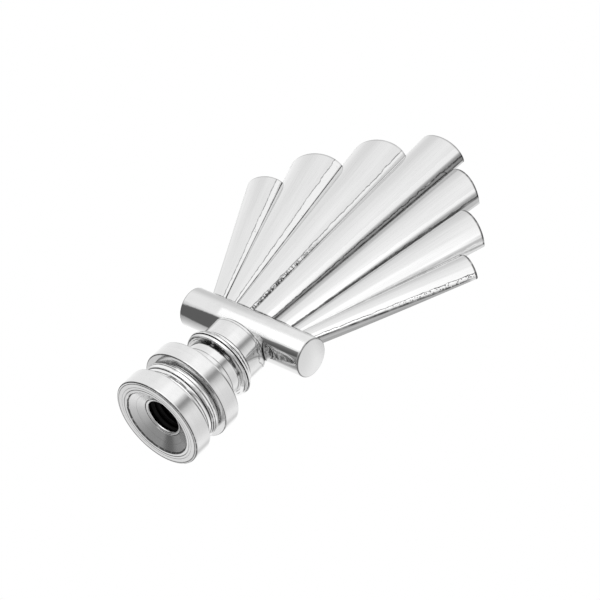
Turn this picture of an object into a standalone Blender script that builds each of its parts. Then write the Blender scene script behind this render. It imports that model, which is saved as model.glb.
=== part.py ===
"""Lamp shade finial: a turned base with a tapped hole, a crossbar and a cast fan of seven flutes.

Units are metres and +Z is up. The origin is the centre of the base's flat rim, +Z is the thread's
axis, +X runs along the crossbar and the fan's fluted face looks towards -Y.
"""

import math

import bmesh
import bpy
from mathutils import Matrix, Vector

MM = 0.001

# Turned base, stacked from the rim upwards
DRUM_RADIUS = 7.5 * MM
DRUM_EDGE = 0.3 * MM
LOWER_DRUM_HEIGHT = 3.15 * MM
BEADED_GROOVE_HEIGHT = 3.4 * MM
UPPER_DRUM_HEIGHT = 2.95 * MM
WAIST_HEIGHT = 3.2 * MM
COLLAR_HEIGHT = 1.95 * MM
NECK_HEIGHT = 3.85 * MM

GROOVE_RADIUS = 6.25 * MM
BEAD_RADIUS = 6.65 * MM
BEAD_BOTTOM = 1.53 * MM
BEAD_HEIGHT = 1.42 * MM
WAIST_RADIUS = 4.65 * MM
COLLAR_RADIUS = 5.7 * MM
COLLAR_BEAD_HEIGHT = 0.65 * MM
COLLAR_STEP_RADIUS = 5.55 * MM
COLLAR_STEP_HEIGHT = 0.33 * MM
COLLAR_ROOT_RADIUS = 5.43 * MM
NECK_RADIUS = 4.8 * MM
NECK_EDGE = 0.2 * MM

# Dished underside and the hole for the threaded stud of a lamp harp, at the thread's mean radius
DISH_RADIUS = 5.62 * MM
DISH_DEPTH = 1.55 * MM
HOLE_RADIUS = 2.95 * MM
HOLE_DEPTH = 9.9 * MM

# Crossbar, seated in a shallow saddle across the neck's top
BAR_RADIUS = 3.03 * MM
BAR_LENGTH = 22.9 * MM
BAR_EDGE = 0.2 * MM
BAR_SEAT_DEPTH = 0.28 * MM
JOINT_GAP = 0.3 * MM

# Fan, from the centre flute outwards. A foot is where the flute meets the crossbar, and a tip's
# height is taken from the crossbar's axis
CENTRE_FOOT_WIDTH = 4.7 * MM
CENTRE_TIP_WIDTH = 8.5 * MM
CENTRE_TIP_HEIGHT = 45.1 * MM

INNER_FOOT_X = 3.55 * MM
INNER_FOOT_WIDTH = 3.8 * MM
INNER_TIP_X = 8.15 * MM
INNER_TIP_WIDTH = 8.9 * MM
INNER_TIP_HEIGHT = 39.65 * MM

OUTER_FOOT_X = 6.25 * MM
OUTER_FOOT_WIDTH = 2.8 * MM
OUTER_TIP_X = 14.8 * MM
OUTER_TIP_WIDTH = 9.0 * MM
OUTER_TIP_HEIGHT = 32.85 * MM

END_FOOT_X = 8.2 * MM
END_FOOT_WIDTH = 3.0 * MM
END_TIP_X = 19.7 * MM
END_TIP_WIDTH = 6.2 * MM
END_TIP_HEIGHT = 26.55 * MM

# The tips are cut with a turn towards the fan's sides and a rake that leaves their front edge the
# highest, both in degrees
CENTRE_CUT, CENTRE_RAKE = 0, 8
INNER_CUT, INNER_RAKE = 12, 23
OUTER_CUT, OUTER_RAKE = 7, 20
END_CUT, END_RAKE = 1, 12

# A flute's crown stands out by this share of its half width. Depths run towards the plain back
CROWN_SHARE = 0.71
FOOT_RISE = 2.42 * MM
FOOT_DEPTH = -0.15 * MM
TIP_DEPTH = 1.15 * MM
CENTRE_TIP_DEPTH = 0.65 * MM
FAN_BACK = 0.5 * MM
FAN_EDGE_WALL = 0.3 * MM
TIP_EDGE = 0.25 * MM

ROUND_SEGMENTS = 56
CROWN_STEPS = 16
EASED_ANGLE = 60
SMOOTH_ANGLE = 40

# Heights that follow from the sizes above
LOWER_DRUM_TOP = LOWER_DRUM_HEIGHT
UPPER_DRUM_BOTTOM = LOWER_DRUM_TOP + BEADED_GROOVE_HEIGHT
UPPER_DRUM_TOP = UPPER_DRUM_BOTTOM + UPPER_DRUM_HEIGHT
COLLAR_BOTTOM = UPPER_DRUM_TOP + WAIST_HEIGHT
COLLAR_TOP = COLLAR_BOTTOM + COLLAR_HEIGHT
NECK_TOP = COLLAR_TOP + NECK_HEIGHT
BAR_Z = NECK_TOP - BAR_SEAT_DEPTH + JOINT_GAP + BAR_RADIUS
FOOT_Z = BAR_Z + FOOT_RISE

# A flute's row: foot x, foot width, tip x, tip width, tip height over the bar, cut and rake
CENTRE_FLUTE = (0, CENTRE_FOOT_WIDTH, 0, CENTRE_TIP_WIDTH, CENTRE_TIP_HEIGHT, CENTRE_CUT, CENTRE_RAKE)
SIDE_FLUTES = (
    (INNER_FOOT_X, INNER_FOOT_WIDTH, INNER_TIP_X, INNER_TIP_WIDTH, INNER_TIP_HEIGHT, INNER_CUT, INNER_RAKE),
    (OUTER_FOOT_X, OUTER_FOOT_WIDTH, OUTER_TIP_X, OUTER_TIP_WIDTH, OUTER_TIP_HEIGHT, OUTER_CUT, OUTER_RAKE),
    (END_FOOT_X, END_FOOT_WIDTH, END_TIP_X, END_TIP_WIDTH, END_TIP_HEIGHT, END_CUT, END_RAKE),
)


def clear_scene():
    for old in list(bpy.data.objects):
        bpy.data.objects.remove(old, do_unlink=True)


def new_collection(name):
    collection = bpy.data.collections.new(name)
    bpy.context.scene.collection.children.link(collection)
    return collection


def metal(name, colour, roughness):
    material = bpy.data.materials.new(name)
    material.use_nodes = True
    shader = material.node_tree.nodes["Principled BSDF"]
    shader.inputs["Base Color"].default_value = (*colour, 1.0)
    shader.inputs["Roughness"].default_value = roughness
    shader.inputs["Metallic"].default_value = 1.0
    return material


def add_object(name, mesh, collection, material=None):
    piece = bpy.data.objects.new(name, mesh)
    collection.objects.link(piece)
    if material:
        mesh.materials.append(material)
    return piece


def mesh_from(bm, name):
    mesh = bpy.data.meshes.new(name)
    bm.to_mesh(mesh)
    bm.free()
    return mesh


def shade_round(mesh):
    mesh.shade_smooth()
    mesh.set_sharp_from_angle(angle=math.radians(SMOOTH_ANGLE))


def make_cutter(piece):
    piece.hide_render = True
    piece.display_type = "WIRE"


def add_boolean(piece, operation, operand):
    boolean = piece.modifiers.new(operation.title(), "BOOLEAN")
    boolean.operation = operation
    boolean.solver = "EXACT"
    boolean.object = operand


def cylinder_along_x(radius, length, centre_z, name):
    bm = bmesh.new()
    bmesh.ops.create_cone(
        bm, cap_ends=True, segments=ROUND_SEGMENTS, radius1=radius, radius2=radius, depth=length
    )
    bmesh.ops.transform(bm, matrix=Matrix.Rotation(math.radians(90), 4, "Y"), verts=bm.verts)
    bmesh.ops.translate(bm, vec=(0, 0, centre_z), verts=bm.verts)
    return mesh_from(bm, name)


def bead_points(radius, bottom, top, root, steps=6):
    """A half-round bead from top to bottom that stands out from root to radius."""
    middle = (top + bottom) / 2
    half = (top - bottom) / 2
    points = []
    for i in range(steps + 1):
        turn = math.pi * (0.5 - i / steps)
        points.append((root + (radius - root) * math.cos(turn), middle + half * math.sin(turn)))
    return points


def base_profile():
    """The base's outer side from the top of the neck down, then the dish and the hole, to the axis."""
    collar_bead_bottom = COLLAR_TOP - COLLAR_BEAD_HEIGHT
    bead_bottom = LOWER_DRUM_TOP + BEAD_BOTTOM
    hole_top = DISH_DEPTH + HOLE_DEPTH
    points = [
        (0, NECK_TOP),
        (NECK_RADIUS - NECK_EDGE, NECK_TOP),
        (NECK_RADIUS, NECK_TOP - NECK_EDGE),
        (NECK_RADIUS, COLLAR_TOP),
    ]
    points += bead_points(COLLAR_RADIUS, collar_bead_bottom, COLLAR_TOP, COLLAR_ROOT_RADIUS)
    points += [
        (COLLAR_STEP_RADIUS, collar_bead_bottom - COLLAR_STEP_HEIGHT),
        (COLLAR_ROOT_RADIUS, collar_bead_bottom - 2 * COLLAR_STEP_HEIGHT),
        (WAIST_RADIUS, COLLAR_BOTTOM),
        (WAIST_RADIUS, UPPER_DRUM_TOP + DRUM_EDGE),
        (WAIST_RADIUS + DRUM_EDGE, UPPER_DRUM_TOP),
    ]
    points += drum_points(UPPER_DRUM_BOTTOM, UPPER_DRUM_TOP)
    points.append((GROOVE_RADIUS, UPPER_DRUM_BOTTOM))
    points += bead_points(BEAD_RADIUS, bead_bottom, bead_bottom + BEAD_HEIGHT, GROOVE_RADIUS)
    points.append((GROOVE_RADIUS, LOWER_DRUM_TOP))
    points += drum_points(0, LOWER_DRUM_TOP)
    points += [
        (DISH_RADIUS, 0),
        (HOLE_RADIUS, DISH_DEPTH),
        (HOLE_RADIUS, hole_top),
        (0, hole_top),
    ]
    return points


def drum_points(bottom, top):
    return [
        (DRUM_RADIUS - DRUM_EDGE, top),
        (DRUM_RADIUS, top - DRUM_EDGE),
        (DRUM_RADIUS, bottom + DRUM_EDGE),
        (DRUM_RADIUS - DRUM_EDGE, bottom),
    ]


def make_turned_base(parts, cutters):
    bm = bmesh.new()
    verts = [bm.verts.new((radius, 0, height)) for radius, height in base_profile()]
    for upper, lower in zip(verts, verts[1:]):
        bm.edges.new((upper, lower))
    turned_metal = metal("turned_nickel", (0.86, 0.86, 0.87), 0.12)
    base = add_object("turned_base", mesh_from(bm, "turned_base"), parts, turned_metal)
    screw = base.modifiers.new("Turning", "SCREW")
    screw.steps = ROUND_SEGMENTS
    screw.render_steps = ROUND_SEGMENTS
    screw.use_merge_vertices = True
    screw.merge_threshold = 0.00001
    saddle = add_object(
        "saddle_cutter",
        cylinder_along_x(BAR_RADIUS + JOINT_GAP, 4 * NECK_RADIUS, BAR_Z, "saddle_cutter"),
        cutters,
    )
    make_cutter(saddle)
    add_boolean(base, "DIFFERENCE", saddle)
    return base


def make_crossbar(parts):
    mesh = cylinder_along_x(BAR_RADIUS, BAR_LENGTH, BAR_Z, "crossbar")
    bar_metal = metal("bar_nickel", (0.88, 0.88, 0.89), 0.06)
    bar = add_object("crossbar", mesh, parts, bar_metal)
    bevel = bar.modifiers.new("Eased ends", "BEVEL")
    bevel.width = BAR_EDGE
    bevel.segments = 2
    bevel.limit_method = "ANGLE"
    bevel.angle_limit = math.radians(EASED_ANGLE)
    shade_round(mesh)
    return bar


def flute_section(width, middle):
    """A flute's section as (across, depth) points: a round crown in front and a flat back."""
    half = width / 2
    crown = CROWN_SHARE * half
    start = math.asin(max(0, middle - (FAN_BACK - FAN_EDGE_WALL)) / crown)
    points = [(half * math.cos(start), FAN_BACK)]
    for i in range(CROWN_STEPS + 1):
        turn = start + (math.pi - 2 * start) * i / CROWN_STEPS
        points.append((half * math.cos(turn), middle - crown * math.sin(turn)))
    points.append((-half * math.cos(start), FAN_BACK))
    return points


def ring_order(verts):
    """The ring's points in order round the cone that the flute is shaped from."""
    return sorted(verts, key=lambda vert: math.atan2(-vert.co.y, vert.co.x) % (2 * math.pi))


def lay_ring(verts, section, centre, lean):
    for vert, (across, depth) in zip(verts, section):
        vert.co = centre + Vector((across * math.cos(lean), depth, -across * math.sin(lean)))


def flute_mesh(flute, side, tip_depth, name):
    """One tapered flute, from inside the crossbar's place to its slanting tip."""
    foot_x, foot_width, tip_x, tip_width, tip_height, cut, rake = flute
    foot = Vector((side * foot_x, 0, FOOT_Z))
    tip = Vector((side * tip_x, 0, BAR_Z + tip_height))
    lean = math.atan2(tip.x - foot.x, tip.z - foot.z)
    foot_section = flute_section(foot_width, FOOT_DEPTH)
    tip_section = flute_section(tip_width, tip_depth)

    bm = bmesh.new()
    bmesh.ops.create_cone(
        bm,
        cap_ends=True,
        segments=len(foot_section),
        radius1=foot_width / 2,
        radius2=tip_width / 2,
        depth=(tip - foot).length,
    )
    foot_ring = ring_order([v for v in bm.verts if v.co.z < 0])
    tip_ring = ring_order([v for v in bm.verts if v.co.z > 0])
    lay_ring(foot_ring, foot_section, foot, lean)
    lay_ring(tip_ring, tip_section, tip, lean)

    cut_turn = lean + side * math.radians(cut)
    cut_rake = math.tan(math.radians(rake))
    cut_normal = Vector((math.sin(cut_turn), cut_rake, math.cos(cut_turn)))
    on_cut = tip + Vector((0, tip_depth, 0))
    for low, high in zip(foot_ring, tip_ring):
        rise = high.co - low.co
        high.co = low.co + rise * (on_cut - low.co).dot(cut_normal) / rise.dot(cut_normal)

    tip_face = next(f for f in bm.faces if set(f.verts) == set(tip_ring))
    bmesh.ops.recalc_face_normals(bm, faces=bm.faces)
    bmesh.ops.bevel(
        bm,
        geom=list(tip_face.edges),
        offset=TIP_EDGE,
        segments=1,
        profile=0.5,
        affect="EDGES",
        clamp_overlap=True,
    )
    return mesh_from(bm, name)


def make_fan(parts, cutters):
    """The flutes in one casting, with a hollow along the bottom that follows the crossbar."""
    fan_metal = metal("fan_nickel", (0.87, 0.87, 0.88), 0.08)
    fan = add_object("fan", flute_mesh(CENTRE_FLUTE, 1, CENTRE_TIP_DEPTH, "fan"), parts, fan_metal)
    for number, flute in enumerate(SIDE_FLUTES, start=2):
        for side, side_name in ((-1, "left"), (1, "right")):
            name = f"flute_{number}_{side_name}"
            neighbour = add_object(name, flute_mesh(flute, side, TIP_DEPTH, name), cutters)
            make_cutter(neighbour)
            add_boolean(fan, "UNION", neighbour)
    hollow = add_object(
        "bar_hollow_cutter",
        cylinder_along_x(BAR_RADIUS + JOINT_GAP, 2 * BAR_LENGTH, BAR_Z, "bar_hollow_cutter"),
        cutters,
    )
    make_cutter(hollow)
    add_boolean(fan, "DIFFERENCE", hollow)
    return fan


def main():
    clear_scene()
    parts = new_collection("lamp_shade_finial")
    cutters = new_collection("cutters")
    make_turned_base(parts, cutters)
    make_crossbar(parts)
    make_fan(parts, cutters)


main()
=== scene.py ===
"""A polished fan-shaped lamp shade finial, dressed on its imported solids.

Lengths are in metres. The finial stands on its rim at z = 0, with the threaded hole's axis along +Z,
the crossbar along +X and the fluted face of the fan towards -Y.
"""

import math

import bmesh
import bpy
from mathutils import Matrix, Vector


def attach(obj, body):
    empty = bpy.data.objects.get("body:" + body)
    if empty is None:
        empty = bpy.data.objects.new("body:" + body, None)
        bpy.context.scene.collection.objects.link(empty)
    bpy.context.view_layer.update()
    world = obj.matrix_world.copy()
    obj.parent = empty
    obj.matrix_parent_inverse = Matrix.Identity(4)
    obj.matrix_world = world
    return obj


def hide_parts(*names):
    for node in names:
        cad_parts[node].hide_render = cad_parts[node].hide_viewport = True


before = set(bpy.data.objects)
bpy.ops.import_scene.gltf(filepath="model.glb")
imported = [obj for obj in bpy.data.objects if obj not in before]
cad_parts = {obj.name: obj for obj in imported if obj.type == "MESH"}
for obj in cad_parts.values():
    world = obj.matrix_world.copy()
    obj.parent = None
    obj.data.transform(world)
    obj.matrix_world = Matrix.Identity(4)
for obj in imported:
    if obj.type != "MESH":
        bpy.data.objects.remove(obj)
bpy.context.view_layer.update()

# Camera. The photograph looks up at the underside from the front right, through a long lens, with
# the finial's axis slanting from the lower left to the upper right.
camera_data = bpy.data.cameras.new("camera")
camera_data.sensor_width = 36
camera_data.lens = 279.29
camera_data.clip_start = 0.01
camera_data.clip_end = 20
camera = bpy.data.objects.new("camera", camera_data)
bpy.context.scene.collection.objects.link(camera)
camera_right = Vector((0.75503, 0.18716, 0.62842))
camera_up = Vector((-0.32050, -0.73076, 0.60271))
camera_back = Vector((0.57203, -0.65647, -0.49176))
camera_at = Vector((0.39072, -0.44616, -0.30388))
camera.matrix_world = Matrix((
    (camera_right.x, camera_up.x, camera_back.x, camera_at.x),
    (camera_right.y, camera_up.y, camera_back.y, camera_at.y),
    (camera_right.z, camera_up.z, camera_back.z, camera_at.z),
    (0, 0, 0, 1),
))
bpy.context.scene.camera = camera
bpy.context.scene.view_settings.view_transform = "Standard"


# Studio. A white tent stands all round the finial, with a few grey and dark cards in it, because
# bright metal shows nothing but what it reflects. Each card is a soft-edged patch of the tent.
studio = bpy.data.worlds.new("white_tent")
bpy.context.scene.world = studio
studio.use_nodes = True
tent = studio.node_tree
tent.nodes.clear()


def wire(tree, *pairs):
    for source, target in pairs:
        tree.links.new(source, target)


def feed(tree, node, *givens):
    """Feeds a node's first inputs in order, each with a socket or a value. None leaves one as it is."""
    for socket, given in zip(node.inputs, givens):
        if isinstance(given, bpy.types.NodeSocket):
            wire(tree, (given, socket))
        elif given is not None:
            socket.default_value = given


def number(tree, operation, first, second=None, third=None):
    """A maths node on numbers or sockets, and its result."""
    node = tree.nodes.new("ShaderNodeMath")
    node.operation = operation
    feed(tree, node, first, second, third)
    return node.outputs[0]


def times(tree, first, *others):
    """Numbers or sockets multiplied together."""
    for other in others:
        first = number(tree, "MULTIPLY", first, other)
    return first


def ramp(tree, value, low, high, start=0.0, end=1.0):
    """Takes a value from low..high to start..end with a soft ease, and no further."""
    node = tree.nodes.new("ShaderNodeMapRange")
    node.interpolation_type = "SMOOTHSTEP"
    feed(tree, node, value, low, high, start, end)
    return node.outputs[0]


def node_group(name, sockets):
    """A shader node group with its sockets, and its input and output nodes."""
    made = bpy.data.node_groups.new(name, "ShaderNodeTree")
    for socket, kind, way in sockets:
        made.interface.new_socket(name=socket, in_out=way, socket_type="NodeSocket" + kind)
    return made, made.nodes.new("NodeGroupInput").outputs, made.nodes.new("NodeGroupOutput").inputs


def laid_in(tree, group, **inputs):
    """Puts a node group in a node tree with its own values, and returns its outputs."""
    node = tree.nodes.new("ShaderNodeGroup")
    node.node_tree = group
    for name, given in inputs.items():
        socket = node.inputs[name.replace("_", " ")]
        if isinstance(given, bpy.types.NodeSocket):
            wire(tree, (given, socket))
        else:
            socket.default_value = given
    return node.outputs


soft_card, given, result = node_group(
    "Soft card",
    (
        ("Direction", "Vector", "INPUT"),
        ("Towards", "Vector", "INPUT"),
        ("Across", "Vector", "INPUT"),
        ("Up", "Vector", "INPUT"),
        ("Half width", "Float", "INPUT"),
        ("Half height", "Float", "INPUT"),
        ("Softness", "Float", "INPUT"),
        ("Fade", "Float", "INPUT"),
        ("Card", "Float", "OUTPUT"),
    ),
)
along = {}
for axis in ("Towards", "Across", "Up"):
    dot = soft_card.nodes.new("ShaderNodeVectorMath")
    dot.operation = "DOT_PRODUCT"
    wire(soft_card, (given["Direction"], dot.inputs[0]), (given[axis], dot.inputs[1]))
    along[axis] = dot.outputs["Value"]
ahead = number(soft_card, "MAXIMUM", along["Towards"], 0.001)
side = number(soft_card, "DIVIDE", number(soft_card, "DIVIDE", along["Across"], ahead), given["Half width"])
rise = number(soft_card, "DIVIDE", number(soft_card, "DIVIDE", along["Up"], ahead), given["Half height"])
# the sum of fourth powers makes the card an oblong with round corners
powers = [number(soft_card, "POWER", number(soft_card, "ABSOLUTE", way), 4) for way in (side, rise)]
corner = number(soft_card, "ADD", *powers)
inner = number(soft_card, "SUBTRACT", 1, given["Softness"])
outer = number(soft_card, "ADD", 1, given["Softness"])
patch = times(
    soft_card,
    ramp(soft_card, number(soft_card, "POWER", corner, 0.25), inner, outer, 1, 0),
    number(soft_card, "GREATER_THAN", along["Towards"], 0.02),
)
crossed = number(soft_card, "MINIMUM", number(soft_card, "MAXIMUM", side, -1), 1)
crossed = times(soft_card, number(soft_card, "ADD", crossed, 1), 0.5)
faded = number(soft_card, "SUBTRACT", 1, times(soft_card, crossed, given["Fade"]))
wire(soft_card, (times(soft_card, patch, faded), result["Card"]))

look = tent.nodes.new("ShaderNodeTexCoord").outputs["Generated"]


def hang_card(light, towards, half_width, half_height, slant, softness, brightness, fade=0.0):
    """Hangs a card in a direction given as right, up and back of the photograph's camera. It fades
    from its left edge to its right by the share fade. Returns the tent's light with the card in it."""
    right, up, back = towards
    ahead = (camera_right * right + camera_up * up + camera_back * back).normalized()
    across = Matrix.Rotation(math.radians(slant), 3, ahead) @ camera_back.cross(ahead).normalized()
    card = laid_in(
        tent, soft_card, Direction=look, Towards=ahead, Across=across, Up=ahead.cross(across),
        Half_width=half_width, Half_height=half_height, Softness=softness, Fade=fade,
    )["Card"]
    covered = times(tent, light, number(tent, "SUBTRACT", 1, card))
    return number(tent, "ADD", covered, times(tent, card, brightness))


TENT_LIGHT = 0.83
TENT_GAIN = 1.39
tent_light = number(tent, "ADD", TENT_LIGHT, 0)
for card in (
    # towards, half width, half height, slant, softness, brightness, fade
    ((0.01, 0.53, 0.85), 0.7, 0.66, -51, 0.19, 1.5, -0.46),
    ((-0.07, 0.47, -0.88), 0.22, 0.59, -10, 0.97, 0.44, 0.85),
    ((-0.23, -0.59, 0.77), 0.7, 4.9, -21, 0.95, 0.08, 0.66),
    ((0.09, -0.99, 0.06), 0.42, 2.8, 20, 0.95, 0.47, -0.24),
    ((0.99, 0.16, 0.04), 0.26, 0.97, -13, 0.95, 0.14),
    ((-0.99, -0.12, -0.1), 2.1, 0.5, 88, 0.95, 0.16, 0.24),
    ((0.759, 0.481, 0.438), 0.14, 0.33, -42, 0.24, 0.18, 0.65),
    ((0.453, -0.073, 0.889), 0.04, 1.18, -57, 0.15, 1.37, 0.75),
    ((-0.995, -0.083, 0.049), 0.2, 0.64, 58.5, 0.18, 0.11),
    ((0.6, -0.64, 0.48), 0.11, 1.6, -24, 0.95, 0.39),
    ((-0.07, 0.79, 0.61), 0.68, 0.71, 24, 0.41, 0.91, 0.63),
    ((0.94, -0.25, 0.25), 0.36, 0.81, -42, 0.53, 0.71, -0.2),
):
    tent_light = hang_card(tent_light, *card)
tent_light = times(tent, tent_light, TENT_GAIN)
background = tent.nodes.new("ShaderNodeBackground")
by_camera = tent.nodes.new("ShaderNodeLightPath").outputs["Is Camera Ray"]
in_metal = times(tent, tent_light, number(tent, "SUBTRACT", 1, by_camera))
seen = number(tent, "ADD", in_metal, by_camera)
tent_out = tent.nodes.new("ShaderNodeOutputWorld")
wire(tent, (seen, background.inputs["Color"]), (background.outputs[0], tent_out.inputs["Surface"]))


# Floor. A plain pale sheet under the rim, which can be seen from above only. The photograph shows
# the underside with nothing before it, so from below the sheet is clear.
bpy.ops.object.select_all(action="DESELECT")
bpy.ops.mesh.primitive_circle_add(vertices=96, radius=1.5, fill_type="NGON", location=(0, 0, 0))
floor = bpy.context.object
floor.name = "floor"
floor.visible_glossy = False
floor.visible_diffuse = False
floor.visible_shadow = False
pale_sheet = bpy.data.materials.new("pale_sheet")
pale_sheet.use_nodes = True
sheet = pale_sheet.node_tree
sheet_shader = sheet.nodes["Principled BSDF"]
sheet_shader.inputs["Base Color"].default_value = (0.86, 0.86, 0.85, 1)
sheet_shader.inputs["Roughness"].default_value = 0.9
see_through = sheet.nodes.new("ShaderNodeBsdfTransparent")
either = sheet.nodes.new("ShaderNodeMixShader")
from_below = sheet.nodes.new("ShaderNodeNewGeometry").outputs["Backfacing"]
wire(
    sheet,
    (from_below, either.inputs[0]),
    (sheet_shader.outputs[0], either.inputs[1]),
    (see_through.outputs[0], either.inputs[2]),
    (either.outputs[0], sheet.nodes["Material Output"].inputs["Surface"]),
)
floor.data.materials.append(pale_sheet)

# Two soft round lamps light the finial from the front, and are not seen in the metal.
for lamp_name, lamp_at, lamp_size, lamp_power in (
    ("key_light", (-0.5, -0.7, 0.9), 0.6, 6.0),
    ("fill_light", (0.8, -0.3, 0.6), 0.8, 3.0),
):
    lamp_data = bpy.data.lights.new(lamp_name, "AREA")
    lamp_data.shape = "DISK"
    lamp_data.size = lamp_size
    lamp_data.energy = lamp_power
    lamp = bpy.data.objects.new(lamp_name, lamp_data)
    lamp.location = lamp_at
    lamp.rotation_euler = (-Vector(lamp_at)).to_track_quat("-Z", "Y").to_euler()
    lamp.visible_glossy = False
    lamp.visible_camera = False
    bpy.context.scene.collection.objects.link(lamp)


# Turned base. One piece of plated steel turned on a lathe: two drums with a beaded groove between
# them, a waist, a beaded collar, and a plain neck with a saddle for the crossbar. Its underside is
# dished round the hole.
MM = 0.001
RIM_RADIUS = 7.5 * MM
SADDLE_RADIUS = 3.05 * MM
BAR_HEIGHT_MM = 21.55
BAR_HEIGHT = BAR_HEIGHT_MM * MM
HOLE_RADIUS = 3.1 * MM

base_profile = (
    # radius, height: neck and its fillet ring
    (0.0, 18.9),
    (4.6, 18.9),
    (4.8, 18.7),
    (4.8, 15.32),
    (4.92, 15.28),
    (5.06, 15.16),
    (5.1, 15.0),
    (5.06, 14.84),
    (4.9, 14.72),
    # collar bead, its lower bead and the deep crease under it
    (5.3, 14.58),
    (5.56, 14.44),
    (5.69, 14.2),
    (5.66, 14.04),
    (5.46, 13.96),
    (5.58, 13.82),
    (5.6, 13.68),
    (5.5, 13.48),
    (5.3, 13.4),
    (4.62, 13.34),
    (4.42, 13.2),
    (4.6, 13.06),
    (4.65, 12.9),
    # waist
    (4.64, 11.66),
    (4.6, 11.6),
    (4.62, 11.54),
    (4.62, 10.2),
    (4.7, 9.8),
    (4.95, 9.55),
    # upper drum
    (7.3, 9.5),
    (7.45, 9.4),
    (7.5, 9.2),
    (7.5, 6.8),
    (7.45, 6.63),
    (7.3, 6.53),
    # groove: two beads with a cut on each side of them
    (6.35, 6.46),
    (6.2, 6.38),
    (6.34, 6.28),
    (6.52, 6.05),
    (6.63, 5.8),
    (6.65, 5.6),
    (6.6, 5.4),
    (6.56, 5.34),
    (6.58, 5.26),
    (6.54, 5.05),
    (6.44, 4.84),
    (6.22, 4.7),
    (6.36, 4.58),
    (6.41, 4.4),
    (6.4, 4.1),
    (6.34, 4.0),
    (6.39, 3.92),
    (6.36, 3.5),
    (6.3, 3.34),
    (6.18, 3.25),
    (6.3, 3.16),
    # lower drum and the rim, with three fine rings turned in its face
    (7.3, 3.15),
    (7.45, 3.05),
    (7.5, 2.85),
    (7.5, 0.3),
    (7.44, 0.12),
    (7.3, 0.02),
    (7.16, 0.03),
    (7.1, 0.06),
    (7.04, 0.0),
    (6.5, 0.0),
    (6.46, 0.03),
    (6.42, 0.0),
    (6.1, 0.0),
    (6.03, 0.06),
    (5.95, 0.01),
    # dish with its lip, and the mouth ring of the hole
    (5.66, 0.0),
    (5.54, 0.05),
    (5.46, 0.16),
    (4.8, 0.52),
    (4.0, 0.95),
    (3.3, 1.33),
    (3.24, 1.42),
    (3.16, 1.4),
    (3.02, 1.42),
    (2.86, 1.5),
    (2.8, 1.62),
    (2.84, 1.74),
    (3.1, 1.86),
    (3.1, 11.4),
    (0.0, 11.4),
)
bpy.ops.object.select_all(action="DESELECT")
bpy.ops.mesh.primitive_plane_add(size=MM, location=(0, 0, 0))
turned_base = bpy.context.object
turned_base.name = "turned_finial_base"
bpy.ops.object.mode_set(mode="EDIT")
bpy.ops.mesh.merge(type="CENTER")
bpy.ops.transform.translate(value=(0, 0, base_profile[0][1] * MM))
for (from_radius, from_height), (to_radius, to_height) in zip(base_profile, base_profile[1:]):
    leg = Vector(((to_radius - from_radius) * MM, 0, (to_height - from_height) * MM))
    # a leg over half a millimetre gets a ring near each end, so that it stays straight in the light
    hold = 0.05 * MM / leg.length
    for share in (hold, 1 - 2 * hold, hold) if leg.length > 0.5 * MM else (1,):
        bpy.ops.mesh.extrude_region_move(TRANSFORM_OT_translate={"value": leg * share})
bpy.ops.mesh.select_all(action="SELECT")
bpy.ops.mesh.spin(steps=192, angle=2 * math.pi, center=(0, 0, 0), axis=(0, 0, 1))
bpy.ops.mesh.select_all(action="SELECT")
bpy.ops.mesh.remove_doubles(threshold=0.000002)
bpy.ops.mesh.normals_make_consistent(inside=False)
bpy.ops.object.mode_set(mode="OBJECT")


def cut_away(piece, cutter):
    """Takes a cutter's shape out of a piece and clears the cutter away."""
    cut = piece.modifiers.new("Cut", "BOOLEAN")
    cut.operation = "DIFFERENCE"
    cut.solver = "EXACT"
    cut.object = cutter
    bpy.context.view_layer.objects.active = piece
    bpy.ops.object.modifier_apply(modifier=cut.name)
    bpy.data.objects.remove(cutter, do_unlink=True)


def round_bar(name, radius, length, sides):
    """A plain rod along X at the crossbar's height."""
    bpy.ops.object.select_all(action="DESELECT")
    bpy.ops.mesh.primitive_cylinder_add(
        vertices=sides, radius=radius, depth=length, location=(0, 0, BAR_HEIGHT), rotation=(0, math.pi / 2, 0)
    )
    bar = bpy.context.object
    bar.name = name
    bpy.ops.object.transform_apply(location=True, rotation=True, scale=True)
    return bar


cut_away(turned_base, round_bar("saddle_tool", SADDLE_RADIUS, 4 * RIM_RADIUS, 128))


def smooth(piece, degrees):
    bpy.ops.object.select_all(action="DESELECT")
    piece.select_set(True)
    bpy.context.view_layer.objects.active = piece
    bpy.ops.object.shade_smooth_by_angle(angle=math.radians(degrees))


smooth(turned_base, 24)


def noise(tree, vector, scale, detail=2.0, rough=0.5):
    """A cloudy pattern from 0 to 1."""
    node = tree.nodes.new("ShaderNodeTexNoise")
    node.inputs["Scale"].default_value = scale
    node.inputs["Detail"].default_value = detail
    node.inputs["Roughness"].default_value = rough
    wire(tree, (vector, node.inputs["Vector"]))
    return node.outputs[0]


def between(tree, value, rise_from, rise_to, fall_from, fall_to):
    """Is 1 where a value lies in a range, and eases to 0 at both ends of it."""
    return times(tree, ramp(tree, value, rise_from, rise_to), ramp(tree, value, fall_from, fall_to, 1, 0))


def close_to(tree, value, place, inner, outer, share=1):
    """Is share where a value is within inner of a place, and 0 further off than outer."""
    away = number(tree, "ABSOLUTE", number(tree, "SUBTRACT", value, place))
    return ramp(tree, away, inner, outer, share, 0)


def distance(tree, across, up):
    """How far a point is from a line, by its two distances at right angles."""
    squares = [number(tree, "POWER", length, 2) for length in (across, up)]
    return number(tree, "SQRT", number(tree, "ADD", *squares))


def most(tree, first, *others):
    """The greatest of several numbers or sockets."""
    for other in others:
        first = number(tree, "MAXIMUM", first, other)
    return first


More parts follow.
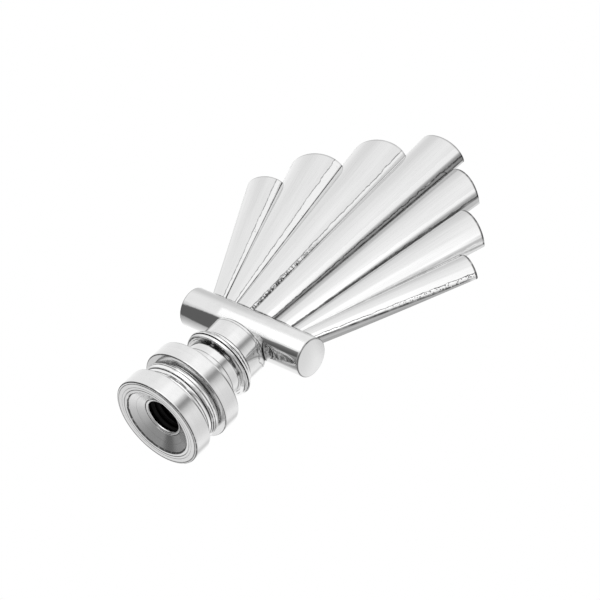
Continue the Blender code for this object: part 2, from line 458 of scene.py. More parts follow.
def blend(tree, share, first, second):
    """Mixes two colours, each a socket or a grey level."""
    node = tree.nodes.new("ShaderNodeMix")
    node.data_type = "RGBA"
    for socket, given in zip((node.inputs[0], node.inputs[6], node.inputs[7]), (share, first, second)):
        if isinstance(given, bpy.types.NodeSocket):
            wire(tree, (given, socket))
        elif socket.type == "RGBA":
            socket.default_value = (given, given, given, 1)
        else:
            socket.default_value = given
    return node.outputs[2]


def parts_of(tree, vector):
    node = tree.nodes.new("ShaderNodeSeparateXYZ")
    wire(tree, (vector, node.inputs[0]))
    return node.outputs


def from_parts(tree, *values):
    node = tree.nodes.new("ShaderNodeCombineXYZ")
    feed(tree, node, *values)
    return node.outputs[0]


# Tool rings: fine lines round the turning axis, from the radius and the height in millimetres.
tool_rings, given, result = node_group(
    "Tool rings",
    (("Position", "Vector", "INPUT"), ("Spacing", "Float", "INPUT"), ("Rings", "Float", "OUTPUT")),
)
x, y, z = parts_of(tool_rings, given["Position"])
rings = from_parts(
    tool_rings,
    number(tool_rings, "DIVIDE", distance(tool_rings, x, y), given["Spacing"]),
    number(tool_rings, "DIVIDE", z, given["Spacing"]),
    times(tool_rings, number(tool_rings, "ARCTAN2", y, x), 0.8),
)
wire(tool_rings, (noise(tool_rings, rings, 1, 3, 0.6), result["Rings"]))

# Wiped film: a faint cloudy film that polishing leaves on plating.
wiped_film, given, result = node_group(
    "Wiped film", (("Position", "Vector", "INPUT"), ("Size", "Float", "INPUT"), ("Film", "Float", "OUTPUT"))
)
places = parts_of(wiped_film, given["Position"])
clouds = from_parts(wiped_film, *(number(wiped_film, "DIVIDE", place, given["Size"]) for place in places))
wire(wiped_film, (ramp(wiped_film, noise(wiped_film, clouds, 1, 4, 0.6), 0.35, 0.7), result["Film"]))


def plating(name):
    """A new metal material: its nodes, its shader and its place on the piece in millimetres."""
    metal = bpy.data.materials.new(name)
    metal.use_nodes = True
    tree = metal.node_tree
    shader = tree.nodes["Principled BSDF"]
    shader.inputs["Metallic"].default_value = 1
    position = tree.nodes.new("ShaderNodeVectorMath")
    position.operation = "SCALE"
    position.inputs["Scale"].default_value = 1 / MM
    wire(tree, (tree.nodes.new("ShaderNodeTexCoord").outputs["Object"], position.inputs[0]))
    return metal, tree, shader, position.outputs[0]


def finish(tree, shader, colour, rough, height, amount):
    """Gives a metal its colour, its roughness and a relief of so many metres."""
    bump = tree.nodes.new("ShaderNodeBump")
    bump.inputs["Distance"].default_value = amount
    wire(
        tree,
        (colour, shader.inputs["Base Color"]),
        (rough, shader.inputs["Roughness"]),
        (height, bump.inputs["Height"]),
        (bump.outputs[0], shader.inputs["Normal"]),
    )


# Bright plating on the turned piece, with tool rings, a faint film, and painted shade: dark lines painted at
# its edges and in its cuts.
# the near-black tone of pits, and of painted shade and painted dark reflections
DARK_PITS_AND_PAINTED_SHADE = 0.03
DISH_LIP_HEIGHT = 0.12
turned_nickel, tree, shader, position = plating("turned_nickel")
x, y, z = parts_of(tree, position)
radius = distance(tree, x, y)
rings = laid_in(tree, tool_rings, Position=position, Spacing=0.11)["Rings"]
film = laid_in(tree, wiped_film, Position=position, Size=1.6)["Film"]
bright = blend(tree, ramp(tree, rings, 0.3, 0.75), 0.69, 0.64)
bright = blend(tree, times(tree, film, 0.5), bright, 0.62)
# the lip of the dish wavers a little, and the other rings run true
waver = noise(tree, from_parts(tree, times(tree, x, 0.9), times(tree, y, 0.9), 0.0), 1, 4, 0.7)
waver = number(tree, "MULTIPLY_ADD", number(tree, "SUBTRACT", waver, 0.5), 0.5, radius)
painted_shade_and_solder_lines = None
# Each ring is a dark line painted at an edge or crease of the profile, as painted shade and painted dark
# reflection.
for ring_radius, ring_height, reach, amount in (
    # radius, height, reach and amount: neck ring and collar
    (4.75, 18.82, 0.2, 1.0),
    (4.8, 18.3, 0.09, 0.45),
    (4.85, 15.3, 0.16, 1.0),
    (4.93, 14.68, 0.18, 1.0),
    (5.5, 14.48, 0.12, 0.5),
    (5.5, 13.97, 0.16, 1.0),
    (4.62, 11.6, 0.09, 0.4),
    (4.75, 9.72, 0.14, 0.7),
    # upper drum
    (7.44, 9.44, 0.1, 0.6),
    (7.44, 6.58, 0.1, 0.75),
    (6.2, 6.38, 0.14, 0.8),
    # beads of the groove
    (6.57, 5.33, 0.1, 0.7),
    (6.22, 4.7, 0.18, 1.0),
    (6.35, 4.0, 0.1, 0.7),
    (6.2, 3.24, 0.2, 1.0),
    # lower drum, rim and dish
    (7.44, 3.08, 0.1, 0.6),
    (7.42, 0.1, 0.11, 0.85),
    (7.1, 0.04, 0.1, 0.55),
    (6.46, 0.03, 0.07, 0.2),
    (6.03, 0.05, 0.09, 0.4),
    (5.5, DISH_LIP_HEIGHT, 0.16, 0.9),
    (4.39, 0.74, 0.07, 0.15),
    (3.22, 1.43, 0.1, 0.85),
):
    across = number(tree, "SUBTRACT", waver if ring_height == DISH_LIP_HEIGHT else radius, ring_radius)
    away = distance(tree, across, number(tree, "SUBTRACT", z, ring_height))
    ring = ramp(tree, away, 0.5 * reach, 1.2 * reach, amount, 0)
    painted_shade_and_solder_lines = ring if painted_shade_and_solder_lines is None else number(tree, "MAXIMUM", painted_shade_and_solder_lines, ring)

# The deep crease under the collar gets painted shade, most in front and some all round.
crease_shade = most(
    tree,
    between(tree, number(tree, "ARCTAN2", y, x), -2.15, -1.85, -1.05, -0.8),
    ramp(tree, noise(tree, position, 0.45, 2), 0.5, 0.6, 0, 0.6),
)
crease = times(tree, ramp(tree, radius, 4.66, 4.9, 1, 0), between(tree, z, 12.7, 12.9, 13.42, 13.5))

# The groove and the collar are painted brighter than the drums as painted highlight, between fine painted
# dark rings of shade.
painted_dark_rings = ramp(tree, laid_in(tree, tool_rings, Position=position, Spacing=0.3)["Rings"], 0.54, 0.6)
in_cuts = times(
    tree,
    most(tree, between(tree, z, 3.1, 3.2, 6.3, 6.5), between(tree, z, 12.7, 12.9, 15.3, 15.4)),
    ramp(tree, radius, 7.0, 7.2, 1, 0),
)
bright = blend(tree, in_cuts, bright, 0.78)

# A painted shade line follows the rod, and a dark line the ragged edge of the solder that ran down the neck.
from_rod = distance(tree, y, number(tree, "SUBTRACT", z, BAR_HEIGHT_MM))
joint_shade = ramp(tree, from_rod, 3.17, 3.3, 0.9, 0)
ragged = number(tree, "SUBTRACT", noise(tree, position, 0.8, 3), 0.5)
spill = number(tree, "MULTIPLY_ADD", ragged, 2.4, from_rod)
spill_edge = times(tree, close_to(tree, spill, 3.9, 0.05, 0.12, 0.75), ramp(tree, x, 1.5, 2.5))

groove_shade = most(tree, times(tree, crease, crease_shade), times(tree, painted_dark_rings, in_cuts, 0.85))
painted_shade_and_solder_lines = most(tree, painted_shade_and_solder_lines, groove_shade, joint_shade, spill_edge)
patches = ramp(tree, noise(tree, position, 1.3, 3, 0.6), 0.3, 0.5, 0.45, 1)
off_the_hole = ramp(tree, radius, 3.12, 3.16)
painted_shade_and_solder_lines = times(tree, painted_shade_and_solder_lines, patches, off_the_hole)
in_dish = times(tree, ramp(tree, z, 1.5, 1.7, 1, 0), ramp(tree, radius, 5.4, 5.6, 1, 0))
rough = number(tree, "MULTIPLY_ADD", rings, 0.06, 0.03)
for cause, share in ((in_dish, 0.16), (film, 0.03), (painted_shade_and_solder_lines, 0.4)):
    rough = number(tree, "MULTIPLY_ADD", cause, share, rough)
relief = number(tree, "MULTIPLY_ADD", film, 0.8, rings)
finish(tree, shader, blend(tree, painted_shade_and_solder_lines, bright, DARK_PITS_AND_PAINTED_SHADE), rough, relief, 0.0016 * MM)

# Bare steel in the hole, coloured nearly black as painted shade for the deep hole.
bare_hole, tree, shader, position = plating("hole_steel_painted_dark")
rings = laid_in(tree, tool_rings, Position=position, Spacing=0.2)["Rings"]
painted_hole_shade = blend(tree, ramp(tree, rings, 0.35, 0.7), 0.008, 0.022)
finish(tree, shader, painted_hole_shade, number(tree, "MULTIPLY_ADD", rings, 0.3, 0.3), rings, 0.01 * MM)

turned_base.data.materials.append(turned_nickel)
turned_base.data.materials.append(bare_hole)
for face in turned_base.data.polygons:
    away = Vector(face.center[:2]).length
    if away < HOLE_RADIUS + 0.01 * MM and 1.75 * MM < face.center.z < 11.5 * MM:
        face.material_index = 1
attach(turned_base, "root")
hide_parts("turned_base")


# Thread. A coarse-cut 27-per-inch thread winds up the hole's wall, with the crests a little worn.
THREAD_PITCH = 25.4 / 27 * MM
THREAD_ROOT = 3.14 * MM
THREAD_CREST = 2.74 * MM
THREAD_MIDDLE = (THREAD_ROOT + THREAD_CREST) / 2
THREAD_START = 2.35 * MM
THREAD_TURNS = 9
bpy.ops.object.select_all(action="DESELECT")
bpy.ops.mesh.primitive_plane_add(
    size=THREAD_PITCH, location=(THREAD_MIDDLE, 0, THREAD_START), rotation=(math.pi / 2, 0, 0)
)
thread = bpy.context.object
thread.name = "tapped_thread"
thread.scale.x = (THREAD_ROOT - THREAD_CREST) / THREAD_PITCH
bpy.ops.object.transform_apply(location=True, rotation=True, scale=True)
bpy.ops.object.mode_set(mode="EDIT")
ridge = bmesh.from_edit_mesh(thread.data)
bpy.ops.mesh.select_all(action="DESELECT")
for vert in ridge.verts:
    vert.select = vert.co.x < THREAD_MIDDLE
ridge.select_flush_mode()
bpy.ops.transform.resize(value=(1, 1, 0.12))
bpy.ops.mesh.select_all(action="SELECT")
bpy.ops.transform.resize(value=(1, 1, 0.97))
bpy.ops.mesh.delete(type="ONLY_FACE")
bpy.ops.object.mode_set(mode="OBJECT")
wound = thread.modifiers.new("Wound up the hole", "SCREW")
wound.screw_offset = THREAD_PITCH
wound.iterations = THREAD_TURNS
wound.steps = wound.render_steps = 64
bpy.ops.object.modifier_apply(modifier=wound.name)
bpy.ops.object.mode_set(mode="EDIT")
bpy.ops.mesh.select_all(action="SELECT")
bpy.ops.mesh.fill_holes(sides=4)
bpy.ops.mesh.normals_make_consistent(inside=False)
bpy.ops.object.mode_set(mode="OBJECT")
smooth(thread, 24)
thread.data.materials.append(bare_hole)
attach(thread, "root")


# Crossbar. A length of plain bright rod, with its ends faced and eased, lies in the saddle and is
# soldered there.
BAR_RADIUS = 3.03 * MM
BAR_LENGTH = 22.9 * MM
BAR_END_MM = BAR_LENGTH / 2 / MM
crossbar = round_bar("bright_crossbar", BAR_RADIUS, BAR_LENGTH, 160)
eased = crossbar.modifiers.new("Eased ends", "BEVEL")
eased.width = 0.2 * MM
eased.segments = 3
eased.limit_method = "ANGLE"
eased.angle_limit = math.radians(60)
bpy.ops.object.modifier_apply(modifier=eased.name)
smooth(crossbar, 24)

# The rod's plating has faint drawn lines along it and a cloudy film, and rings on its faced ends.
# dark tones of the mottle and the painted joint shade, and of the thin painted shade lines at edges and
# creases
MOTTLE_AND_JOINT_SHADE = 0.04
THIN_PAINTED_SHADE = 0.05
bar_nickel, tree, shader, position = plating("bar_nickel")
x, y, z = parts_of(tree, position)
above_axis = number(tree, "SUBTRACT", z, BAR_HEIGHT_MM)
sideways = number(tree, "ABSOLUTE", x)
drawn = noise(tree, from_parts(tree, times(tree, x, 0.12), times(tree, y, 5), z), 1.5, 3, 0.6)
film = laid_in(tree, wiped_film, Position=position, Size=1.1)["Film"]
faced = laid_in(tree, tool_rings, Position=from_parts(tree, y, above_axis, x), Spacing=0.16)["Rings"]
at_ends = ramp(tree, sideways, BAR_END_MM - 0.12, BAR_END_MM - 0.02)
lines = number(tree, "MULTIPLY_ADD", at_ends, faced, drawn)
bright = blend(tree, times(tree, film, ramp(tree, drawn, 0.4, 0.7)), 0.68, 0.63)
bright = blend(tree, at_ends, bright, 0.82)

# A painted highlight band and a painted dark reflection streak run along it, at angles round the rod that
# wander a little.
angle = number(tree, "ARCTAN2", above_axis, times(tree, y, -1))
angle = number(tree, "MULTIPLY_ADD", number(tree, "SUBTRACT", drawn, 0.5), 0.16, angle)
off_ends = between(tree, x, -5.2, -4.4, BAR_END_MM - 0.5, BAR_END_MM - 0.2)
painted_dark_streak = times(tree, between(tree, angle, -0.95, -0.84, -0.66, -0.6), off_ends, ramp(tree, x, 2.5, 5))
clear = times(tree, between(tree, angle, -0.62, -0.5, -0.2, 0.05), off_ends)
bright = blend(tree, times(tree, clear, 0.7), bright, 0.95)
bright = blend(tree, painted_dark_streak, bright, 0.2)

# Dark mottled patches lie on its underside beside the neck, and painted shade lines follow the neck and the
# eased ends.
mottle = times(
    tree,
    ramp(tree, noise(tree, position, 1.1, 4, 0.65), 0.5, 0.62),
    between(tree, angle, -1.5, -1.3, -1.0, -0.8),
    between(tree, x, 4.6, 5.2, 8, 10),
    0.85,
)
round_neck = close_to(tree, distance(tree, x, y), 4.9, 0.07, 0.16, 0.85)
joint_shade = times(tree, round_neck, ramp(tree, above_axis, -2.5, -2.1, 1, 0))
bright = blend(tree, most(tree, mottle, joint_shade), bright, MOTTLE_AND_JOINT_SHADE)
bright = blend(tree, close_to(tree, sideways, BAR_END_MM - 0.1, 0.06, 0.12, 0.7), bright, THIN_PAINTED_SHADE)
rough = number(tree, "MULTIPLY_ADD", lines, 0.04, 0.02)
rough = number(tree, "MULTIPLY_ADD", clear, times(tree, drawn, 0.7), rough)
rough = number(tree, "MULTIPLY_ADD", film, 0.03, rough)
finish(tree, shader, bright, rough, number(tree, "MULTIPLY_ADD", film, 1.4, lines), 0.0018 * MM)
crossbar.data.materials.append(bar_nickel)
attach(crossbar, "root")
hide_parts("crossbar")


# Solder. A grey fillet of solder fills the wedge between the neck's flat top and the round rod, and
# shows as a slightly lumpy collar that was wiped but not polished.
bpy.ops.object.select_all(action="DESELECT")
bpy.ops.mesh.primitive_cone_add(
    vertices=96, radius1=4.76 * MM, radius2=4.46 * MM, depth=1.3 * MM, location=(0, 0, 19.4 * MM)
)
solder = bpy.context.object
solder.name = "neck_solder"
bpy.ops.object.transform_apply(location=True, rotation=True, scale=True)
bpy.ops.object.mode_set(mode="EDIT")
fillet = bmesh.from_edit_mesh(solder.data)
# height in millimetres, and the share of its width left front to back
fillet_rings = ((19.1, 0.86), (19.5, 0.7), (20.05, 0.58))
for level, squeeze in fillet_rings[:-1]:
    bpy.ops.mesh.select_all(action="SELECT")
    bpy.ops.mesh.bisect(plane_co=(0, 0, level * MM), plane_no=(0, 0, 1))
for level, squeeze in fillet_rings:
    bpy.ops.mesh.select_all(action="DESELECT")
    for vert in fillet.verts:
        vert.select = abs(vert.co.z - level * MM) < 0.05 * MM
    fillet.select_flush_mode()
    bpy.ops.transform.resize(value=(1, squeeze, 1), center_override=(0, 0, level * MM))
bpy.ops.mesh.select_all(action="SELECT")
bpy.ops.mesh.normals_make_consistent(inside=False)
bpy.ops.object.mode_set(mode="OBJECT")
lumpy = solder.modifiers.new("More faces", "SUBSURF")
lumpy.subdivision_type = "SIMPLE"
lumpy.levels = lumpy.render_levels = 2
bpy.ops.object.modifier_apply(modifier=lumpy.name)
lumps = bpy.data.textures.new("solder_lumps", "CLOUDS")
lumps.noise_scale = 1.4 * MM
pushed = solder.modifiers.new("Lumps", "DISPLACE")
pushed.texture = lumps
pushed.strength = 0.16 * MM
pushed.mid_level = 0.6
bpy.ops.object.modifier_apply(modifier=pushed.name)
smooth(solder, 40)

solder_metal, tree, shader, position = plating("wiped_solder")
film = laid_in(tree, wiped_film, Position=position, Size=0.7)["Film"]
grain = noise(tree, position, 1.4, 3)
grey = blend(tree, ramp(tree, grain, 0.3, 0.65), 0.5, 0.66)
finish(tree, shader, grey, number(tree, "MULTIPLY_ADD", film, 0.15, 0.08), grain, 0.03 * MM)
solder.data.materials.append(solder_metal)
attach(solder, "root")


# Fan. One casting of seven tapered flutes, plated and polished along their length. Each flute is
# half round in front and flat behind, and lies behind the one nearer to the middle.
CROWN_SHARE = 0.71
FAN_BACK = 0.5 * MM
FAN_EDGE_WALL = 0.3 * MM
FOOT_DEPTH = -0.15 * MM
FOOT_HEIGHT_MM = BAR_HEIGHT_MM + 2.42
FLUTE_SIDES = 192
SPARE_LENGTH = 1.2
EASED_TIP = 0.22 * MM
EASED_FACE_AREA = 1.5 * MM * MM
flutes = (
    # foot x, foot width, tip x, tip width, tip height over the bar, tip depth, cut, rake
    (0.0, 4.7, 0.0, 8.5, 45.1, 0.65, 0, 8),
    (3.55, 3.8, 8.15, 8.9, 39.65, 1.15, 12, 23),
    (6.25, 2.8, 14.8, 9.0, 32.85, 1.15, 7, 20),
    (8.2, 3.0, 19.7, 6.2, 26.55, 1.15, 1, 12),
)


def cast_flute(name, side, foot_x, foot_width, tip_x, tip_width, tip_height, tip_depth, cut, rake):
    """A cone laid from the bar to the tip, flattened, then cut off and eased at the tip."""
    foot = Vector((side * foot_x * MM, FOOT_DEPTH, FOOT_HEIGHT_MM * MM))
    tip = Vector((side * tip_x * MM, tip_depth * MM, BAR_HEIGHT + tip_height * MM))
    run = tip - foot
    end = foot + run * SPARE_LENGTH
    end_width = foot_width + (tip_width - foot_width) * SPARE_LENGTH
    bpy.ops.object.select_all(action="DESELECT")
    bpy.ops.mesh.primitive_cone_add(
        vertices=FLUTE_SIDES,
        radius1=foot_width / 2 * MM,
        radius2=end_width / 2 * MM,
        depth=run.length * SPARE_LENGTH,
        location=(0, 0, 0),
    )
    flute = bpy.context.object
    flute.name = name
    lean = math.atan2(run.x, run.z)
    tilt = -math.atan2(run.y, math.hypot(run.x, run.z))
    turn = Matrix.Rotation(lean, 4, "Y") @ Matrix.Rotation(tilt, 4, "X")
    flute.matrix_world = Matrix.Translation((foot + end) / 2) @ turn @ Matrix.Diagonal((1, CROWN_SHARE, 1, 1))
    bpy.ops.object.transform_apply(location=True, rotation=True, scale=True)

    bpy.ops.object.mode_set(mode="EDIT")
    bpy.ops.mesh.select_all(action="SELECT")
    cut_turn = lean + side * math.radians(cut)
    cut_across = Vector((math.sin(cut_turn), math.tan(math.radians(rake)), math.cos(cut_turn)))
    bpy.ops.mesh.bisect(plane_co=tip, plane_no=cut_across, use_fill=True, clear_outer=True)
    bpy.ops.mesh.bevel(offset=EASED_TIP, segments=3, affect="EDGES", clamp_overlap=True)
    bpy.ops.object.mode_set(mode="OBJECT")
    return flute


fan = cast_flute("flute_fan", 1, *flutes[0])
for place, sizes in enumerate(flutes[1:], start=2):
    for side in (-1, 1):
        neighbour = cast_flute(f"flute_{place}", side, *sizes)
        joined = fan.modifiers.new("Joined", "BOOLEAN")
        joined.operation = "UNION"
        joined.solver = "EXACT"
        joined.object = neighbour
        bpy.context.view_layer.objects.active = fan
        bpy.ops.object.modifier_apply(modifier=joined.name)
        bpy.data.objects.remove(neighbour, do_unlink=True)
cut_away(fan, round_bar("hollow_tool", BAR_RADIUS - 0.04 * MM, 2 * BAR_LENGTH, 160))
# the back is cut flat, and then drawn out to its place so that the thin edges keep a wall
BLOCK = 80 * MM
bpy.ops.object.select_all(action="DESELECT")
bpy.ops.mesh.primitive_cube_add(
    size=BLOCK, location=(0, BLOCK / 2 + FAN_BACK - FAN_EDGE_WALL, BAR_HEIGHT + 20 * MM)
)
cut_away(fan, bpy.context.object)
bpy.ops.object.select_all(action="DESELECT")
fan.select_set(True)
bpy.context.view_layer.objects.active = fan
bpy.ops.object.mode_set(mode="EDIT")
bpy.ops.mesh.select_all(action="DESELECT")
casting = bmesh.from_edit_mesh(fan.data)
for face in casting.faces:
    from_cut = abs(face.calc_center_median().y - FAN_BACK + FAN_EDGE_WALL)
    face.select = face.normal.y > 0.99 and from_cut < 0.02 * MM
casting.select_flush_mode()
bpy.ops.mesh.extrude_region_move(TRANSFORM_OT_translate={"value": (0, FAN_EDGE_WALL, 0)})
bpy.ops.mesh.select_all(action="SELECT")
bpy.ops.mesh.normals_make_consistent(inside=False)
bpy.ops.object.mode_set(mode="OBJECT")
smooth(fan, 24)

# Polished streaks: fine lines along a flute, from its own map.
streaks, given, result = node_group(
    "Polished streaks",
    (
        ("Map", "Vector", "INPUT"),
        ("Across", "Float", "INPUT"),
        ("Along", "Float", "INPUT"),
        ("Streaks", "Float", "OUTPUT"),
    ),
)
u, v, w = parts_of(streaks, given["Map"])
stretched = from_parts(streaks, times(streaks, u, given["Across"]), times(streaks, v, given["Along"]), w)
wire(streaks, (noise(streaks, stretched, 1, 4, 0.62), result["Streaks"]))

# Casting pits: small sharp specks, dark and bright, where the polishing wheel did not reach.
pits, given, result = node_group(
    "Casting pits",
    (
        ("Position", "Vector", "INPUT"),
        ("Size", "Float", "INPUT"),
        ("Share", "Float", "INPUT"),
        ("Dark", "Float", "OUTPUT"),
        ("Bright", "Float", "OUTPUT"),
    ),
)
cells = pits.nodes.new("ShaderNodeTexVoronoi")
cells.inputs["Scale"].default_value = 1
places = parts_of(pits, given["Position"])
sized = from_parts(pits, *(number(pits, "DIVIDE", place, given["Size"]) for place in places))
wire(pits, (sized, cells.inputs["Vector"]))
luck = parts_of(pits, cells.outputs["Color"])[0]
speck = ramp(pits, cells.outputs["Distance"], 0.3, 0.6, 1, 0)
is_dark = number(pits, "LESS_THAN", luck, given["Share"])
is_bright = number(pits, "GREATER_THAN", luck, number(pits, "SUBTRACT", 1, given["Share"]))
wire(pits, (times(pits, speck, is_dark), result["Dark"]), (times(pits, speck, is_bright), result["Bright"]))

# Flute side: a strip beside a crease in another tone, lighter as painted highlight and darker as painted dark
# reflection, its ragged edge, and a painted shade line down the crease. The crease runs straight in x and z,
# and all is in millimetres.
CREASE_FOOT_MM = 24
painted_flank, given, result = node_group(
    "Flute side, painted reflections",
    (
        ("Colour", "Color", "INPUT"),
        ("Roughness", "Float", "INPUT"),
        ("Position", "Vector", "INPUT"),
        ("Start", "Float", "INPUT"),
        ("Slope", "Float", "INPUT"),
        ("Width", "Float", "INPUT"),
        ("Growth", "Float", "INPUT"),
        ("Tone", "Color", "INPUT"),
        ("Tone roughness", "Float", "INPUT"),
        ("Fade", "Float", "INPUT"),
        ("Edge", "Float", "INPUT"),
        ("Line", "Float", "INPUT"),
        ("Colour", "Color", "OUTPUT"),
        ("Roughness", "Float", "OUTPUT"),
        ("Strip", "Float", "OUTPUT"),
        ("Near crease", "Float", "OUTPUT"),
    ),
)
x, y, z = parts_of(painted_flank, given["Position"])
in_front = ramp(painted_flank, y, 0.1, 0.2, 1, 0)
rise = number(painted_flank, "SUBTRACT", z, CREASE_FOOT_MM)
off = number(painted_flank, "SUBTRACT", x, number(painted_flank, "MULTIPLY_ADD", rise, given["Slope"], given["Start"]))
along_crease = from_parts(painted_flank, given["Start"], times(painted_flank, off, 0.5), z)
ragged = number(painted_flank, "SUBTRACT", noise(painted_flank, along_crease, 0.75, 4, 0.65), 0.5)
reach = number(painted_flank, "MULTIPLY_ADD", rise, given["Growth"], given["Width"])
from_edge = number(painted_flank, "MULTIPLY_ADD", ragged, 0.45, number(painted_flank, "ADD", off, reach))
to_crease = ramp(painted_flank, off, times(painted_flank, given["Fade"], -1), 0.06, 1, 0)
strip = times(painted_flank, ramp(painted_flank, from_edge, -0.03, 0.03), to_crease, in_front)
broken = ramp(painted_flank, noise(painted_flank, along_crease, 1.7, 3), 0.3, 0.6, 0.55, 1)
edge_line = times(painted_flank, close_to(painted_flank, from_edge, 0, 0.02, 0.09), broken, in_front, given["Edge"])
patchy = ramp(painted_flank, noise(painted_flank, along_crease, 0.35, 4, 0.7), 0.3, 0.6, 0.5, 1)
crease_line = times(painted_flank, close_to(painted_flank, off, 0, 0.05, 0.15), patchy, in_front, given["Line"])
colour = blend(painted_flank, strip, given["Colour"], given["Tone"])
colour = blend(painted_flank, most(painted_flank, edge_line, crease_line), colour, THIN_PAINTED_SHADE)
rougher = number(painted_flank, "SUBTRACT", given["Tone roughness"], given["Roughness"])
wire(
    painted_flank,
    (colour, result["Colour"]),
    (number(painted_flank, "MULTIPLY_ADD", strip, rougher, given["Roughness"]), result["Roughness"]),
    (strip, result["Strip"]),
    (times(painted_flank, close_to(painted_flank, off, 0, 0.2, 0.55), in_front), result["Near crease"]),
)

# The fan's plating: streaks and a film in front, and plain upright brushing on the flat back.
fan_nickel, tree, shader, position = plating("fan_nickel")
x, y, z = parts_of(tree, position)
flute_map = tree.nodes.new("ShaderNodeUVMap")
flute_map.uv_map = "UVMap"
fine = laid_in(tree, streaks, Map=flute_map.outputs[0], Across=150.0, Along=9.0)["Streaks"]
broad = laid_in(tree, streaks, Map=flute_map.outputs[0], Across=34.0, Along=5.0)["Streaks"]
film = laid_in(tree, wiped_film, Position=position, Size=2.2)["Film"]
colour = blend(tree, ramp(tree, fine, 0.35, 0.7), 0.69, 0.635)
colour = blend(tree, times(tree, film, 0.4), colour, 0.66)
at_back = ramp(tree, y, 0.47, 0.49)
brushed = noise(tree, from_parts(tree, times(tree, x, 5), 0.0, times(tree, z, 0.22)), 1, 4, 0.7)
fine = number(tree, "MULTIPLY_ADD", at_back, number(tree, "SUBTRACT", brushed, fine), fine)
broad = number(tree, "MULTIPLY_ADD", at_back, number(tree, "SUBTRACT", 0.5, broad), broad)
colour = blend(tree, times(tree, at_back, ramp(tree, brushed, 0.35, 0.7)), colour, 0.52)
rough = number(tree, "MULTIPLY_ADD", film, 0.03, 0.015)
rough = number(tree, "MULTIPLY_ADD", fine, 0.07, rough)
rough = number(tree, "MULTIPLY_ADD", at_back, times(tree, brushed, 0.45), rough)

sides = {}
# Each row paints reflection beside a crease: light tones are painted highlights, dark tones painted dark
# reflections, the lines painted shade, and the left end a painted shade outline along the outer edge.
for name, start, slope, width, growth, tone, tone_rough, fade, edge, line in (
    # x of the crease at its foot, slope, the strip's width, growth, tone, roughness, fade, the two lines
    ("left outer", -7.171, -0.4009, 0.45, 0.018, 0.76, 0.1, 0.02, 0.75, 1.0),
    ("left middle", -5.196, -0.1839, 0.35, 0.026, 0.76, 0.08, 0.02, 0.75, 1.0),
    ("left inner", -2.049, -0.0513, 0.35, 0.01, 0.76, 0.1, 0.02, 0.75, 1.0),
    ("right end", 9.62, 0.552, 0.3, 0.012, 0.95, 0.12, 0.02, 1.0, 1.0),
    ("right inner, bright", 1.62, 0.0513, 0.6, 0.008, 0.73, 0.1, 0.02, 0.0, 0.0),
    ("right inner, dark", 3.5, 0.085, 1.72, 0.034, 0.46, 0.14, 0.5, 0.9, 0.0),
    ("right middle, bright", 4.95, 0.1839, 0.5, 0.008, 0.75, 0.1, 0.02, 0.0, 0.0),
    ("right middle, dark", 6.3, 0.205, 1.2, 0.021, 0.48, 0.14, 0.5, 0.8, 0.0),
    ("right outer, bright", 7.65, 0.4009, 0.55, 0.008, 0.95, 0.12, 0.3, 0.0, 0.0),
    ("right outer", 7.171, 0.4009, 0.15, 0.004, 0.76, 0.12, 0.02, 0.2, 0.5),
    ("left end", -9.5, -0.545, 0.6, 0.0, 0.55, 0.12, 0.25, 0.0, 0.0),
    ("right inner, line", 2.049, 0.0513, 0.0, 0.0, 0.5, 0.12, 0.02, 0.0, 0.85),
    ("right middle, line", 5.196, 0.1839, 0.0, 0.0, 0.5, 0.12, 0.02, 0.0, 0.85),
):
    sides[name] = laid_in(
        tree, painted_flank, Colour=colour, Roughness=rough, Position=position, Start=start, Slope=slope, Width=width,
        Growth=growth, Tone=(tone, tone, tone, 1), Tone_roughness=tone_rough, Fade=fade, Edge=edge, Line=line,
    )
    colour, rough = sides[name]["Colour"], sides[name]["Roughness"]

# Pits and painted crease shade low in the inner left crease, pits at the right end, and a few elsewhere.
specks = laid_in(tree, pits, Position=position, Size=0.26, Share=0.45)
low_in_crease = times(tree, sides["left inner"]["Near crease"], ramp(tree, z, 33, 45, 1, 0))
at_right_end = times(tree, sides["right end"]["Strip"], ramp(tree, z, 30, 42), 0.8)
strips = most(tree, *(sides[name]["Strip"] for name in ("left outer", "left middle", "right inner, dark")))
few = times(tree, number(tree, "GREATER_THAN", noise(tree, position, 2.1, 2), 0.68), 0.6)
pitted = most(tree, low_in_crease, at_right_end, times(tree, strips, few))
crease_shade = times(tree, ramp(tree, noise(tree, position, 1.5, 4, 0.7), 0.44, 0.52), 0.85, low_in_crease)
dark_specks = times(tree, specks["Dark"], pitted)
colour = blend(tree, crease_shade, colour, DARK_PITS_AND_PAINTED_SHADE)
colour = blend(tree, dark_specks, colour, DARK_PITS_AND_PAINTED_SHADE)
colour = blend(tree, times(tree, specks["Bright"], pitted, 0.6), colour, 1.0)
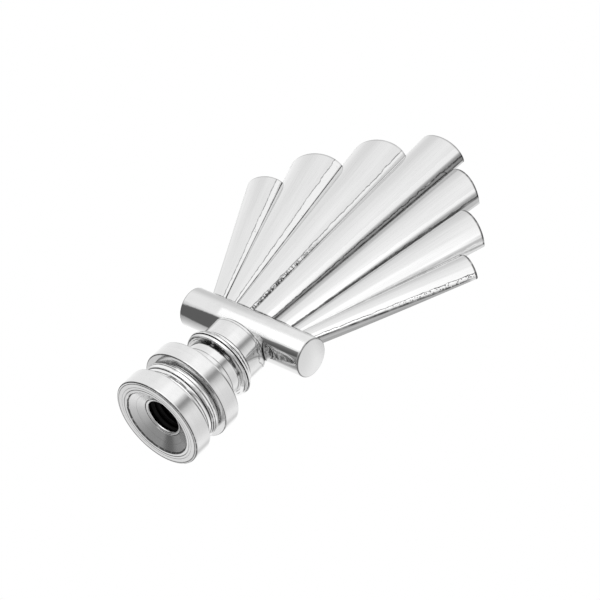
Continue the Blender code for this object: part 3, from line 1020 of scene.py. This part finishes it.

# A painted shade line round each tip stops short of the flat cap, stronger towards the right. A flute's tip
# lies between the creases on its two sides, each given by its x at the foot and its slope, and the outermost
# flute ends at no crease.
outer_creases = ((2.05, 0.0513), (5.2, 0.184), (7.17, 0.401), (40.0, 0.0))
sideways = number(tree, "ABSOLUTE", x)
beyond = 1.0
painted_tip_lines = []
for (foot_x, _, tip_x, _, tip_height, tip_depth, cut, rake), (start, slope) in zip(flutes, outer_creases):
    tip_height += BAR_HEIGHT_MM
    turned = math.atan2(tip_x - foot_x, tip_height - FOOT_HEIGHT_MM) + math.radians(cut)
    facing = Vector((math.sin(turned), math.tan(math.radians(rake)), math.cos(turned))).normalized()
    past = number(tree, "MULTIPLY_ADD", z, facing.z, -facing.dot(Vector((tip_x, tip_depth, tip_height))))
    past = number(tree, "MULTIPLY_ADD", y, facing.y, past)
    past = number(tree, "MULTIPLY_ADD", sideways, facing.x, past)
    crease = number(tree, "MULTIPLY_ADD", number(tree, "SUBTRACT", z, CREASE_FOOT_MM), slope, start)
    inside = number(tree, "LESS_THAN", sideways, crease)
    painted_tip_lines.append(times(tree, between(tree, past, -0.42, -0.25, -0.08, -0.03), inside, beyond))
    beyond = number(tree, "SUBTRACT", 1, inside)
patchy = ramp(tree, noise(tree, position, 0.9, 3, 0.6), 0.3, 0.55, 0.5, 1)
painted_tip_line = times(tree, most(tree, *painted_tip_lines), ramp(tree, x, -2, 9, 0.35, 0.9), patchy)
colour = blend(tree, painted_tip_line, colour, THIN_PAINTED_SHADE)

# Painted shade at the feet, where the flutes meet the rod.
from_bar = distance(tree, y, number(tree, "SUBTRACT", z, BAR_HEIGHT_MM))
foot = times(tree, ramp(tree, from_bar, 3.12, 3.3, 1, 0), ramp(tree, broad, 0.25, 0.6, 0.5, 0.95))
colour = blend(tree, foot, colour, MOTTLE_AND_JOINT_SHADE)
relief = number(tree, "MULTIPLY_ADD", fine, 0.5, times(tree, broad, 3))
relief = number(tree, "MULTIPLY_ADD", dark_specks, -4, relief)
finish(tree, shader, colour, rough, relief, 0.002 * MM)
fan.data.materials.append(fan_nickel)

# The eased edge round each tip is painted dark as painted shade, more towards the right, and made rougher.
painted_tip_edge, tree, shader, position = plating("tip_edge_painted_dark")
x, y, z = parts_of(tree, position)
patchy = ramp(tree, noise(tree, position, 1.2, 3), 0.3, 0.6, 0.5, 1)
edge_shade_mask = times(tree, patchy, ramp(tree, x, -4, 9, 0.65, 1))
painted_edge_dark = blend(tree, edge_shade_mask, 0.6, DARK_PITS_AND_PAINTED_SHADE)
rough = number(tree, "MULTIPLY_ADD", edge_shade_mask, 0.25, 0.08)
finish(tree, shader, painted_edge_dark, rough, noise(tree, position, 5, 2), 0.003 * MM)
fan.data.materials.append(painted_tip_edge)
for face in fan.data.polygons:
    if 0.45 < face.normal.z < 0.86 and face.center.z > 44 * MM and face.area < EASED_FACE_AREA:
        face.material_index = 1
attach(fan, "root")
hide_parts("fan")
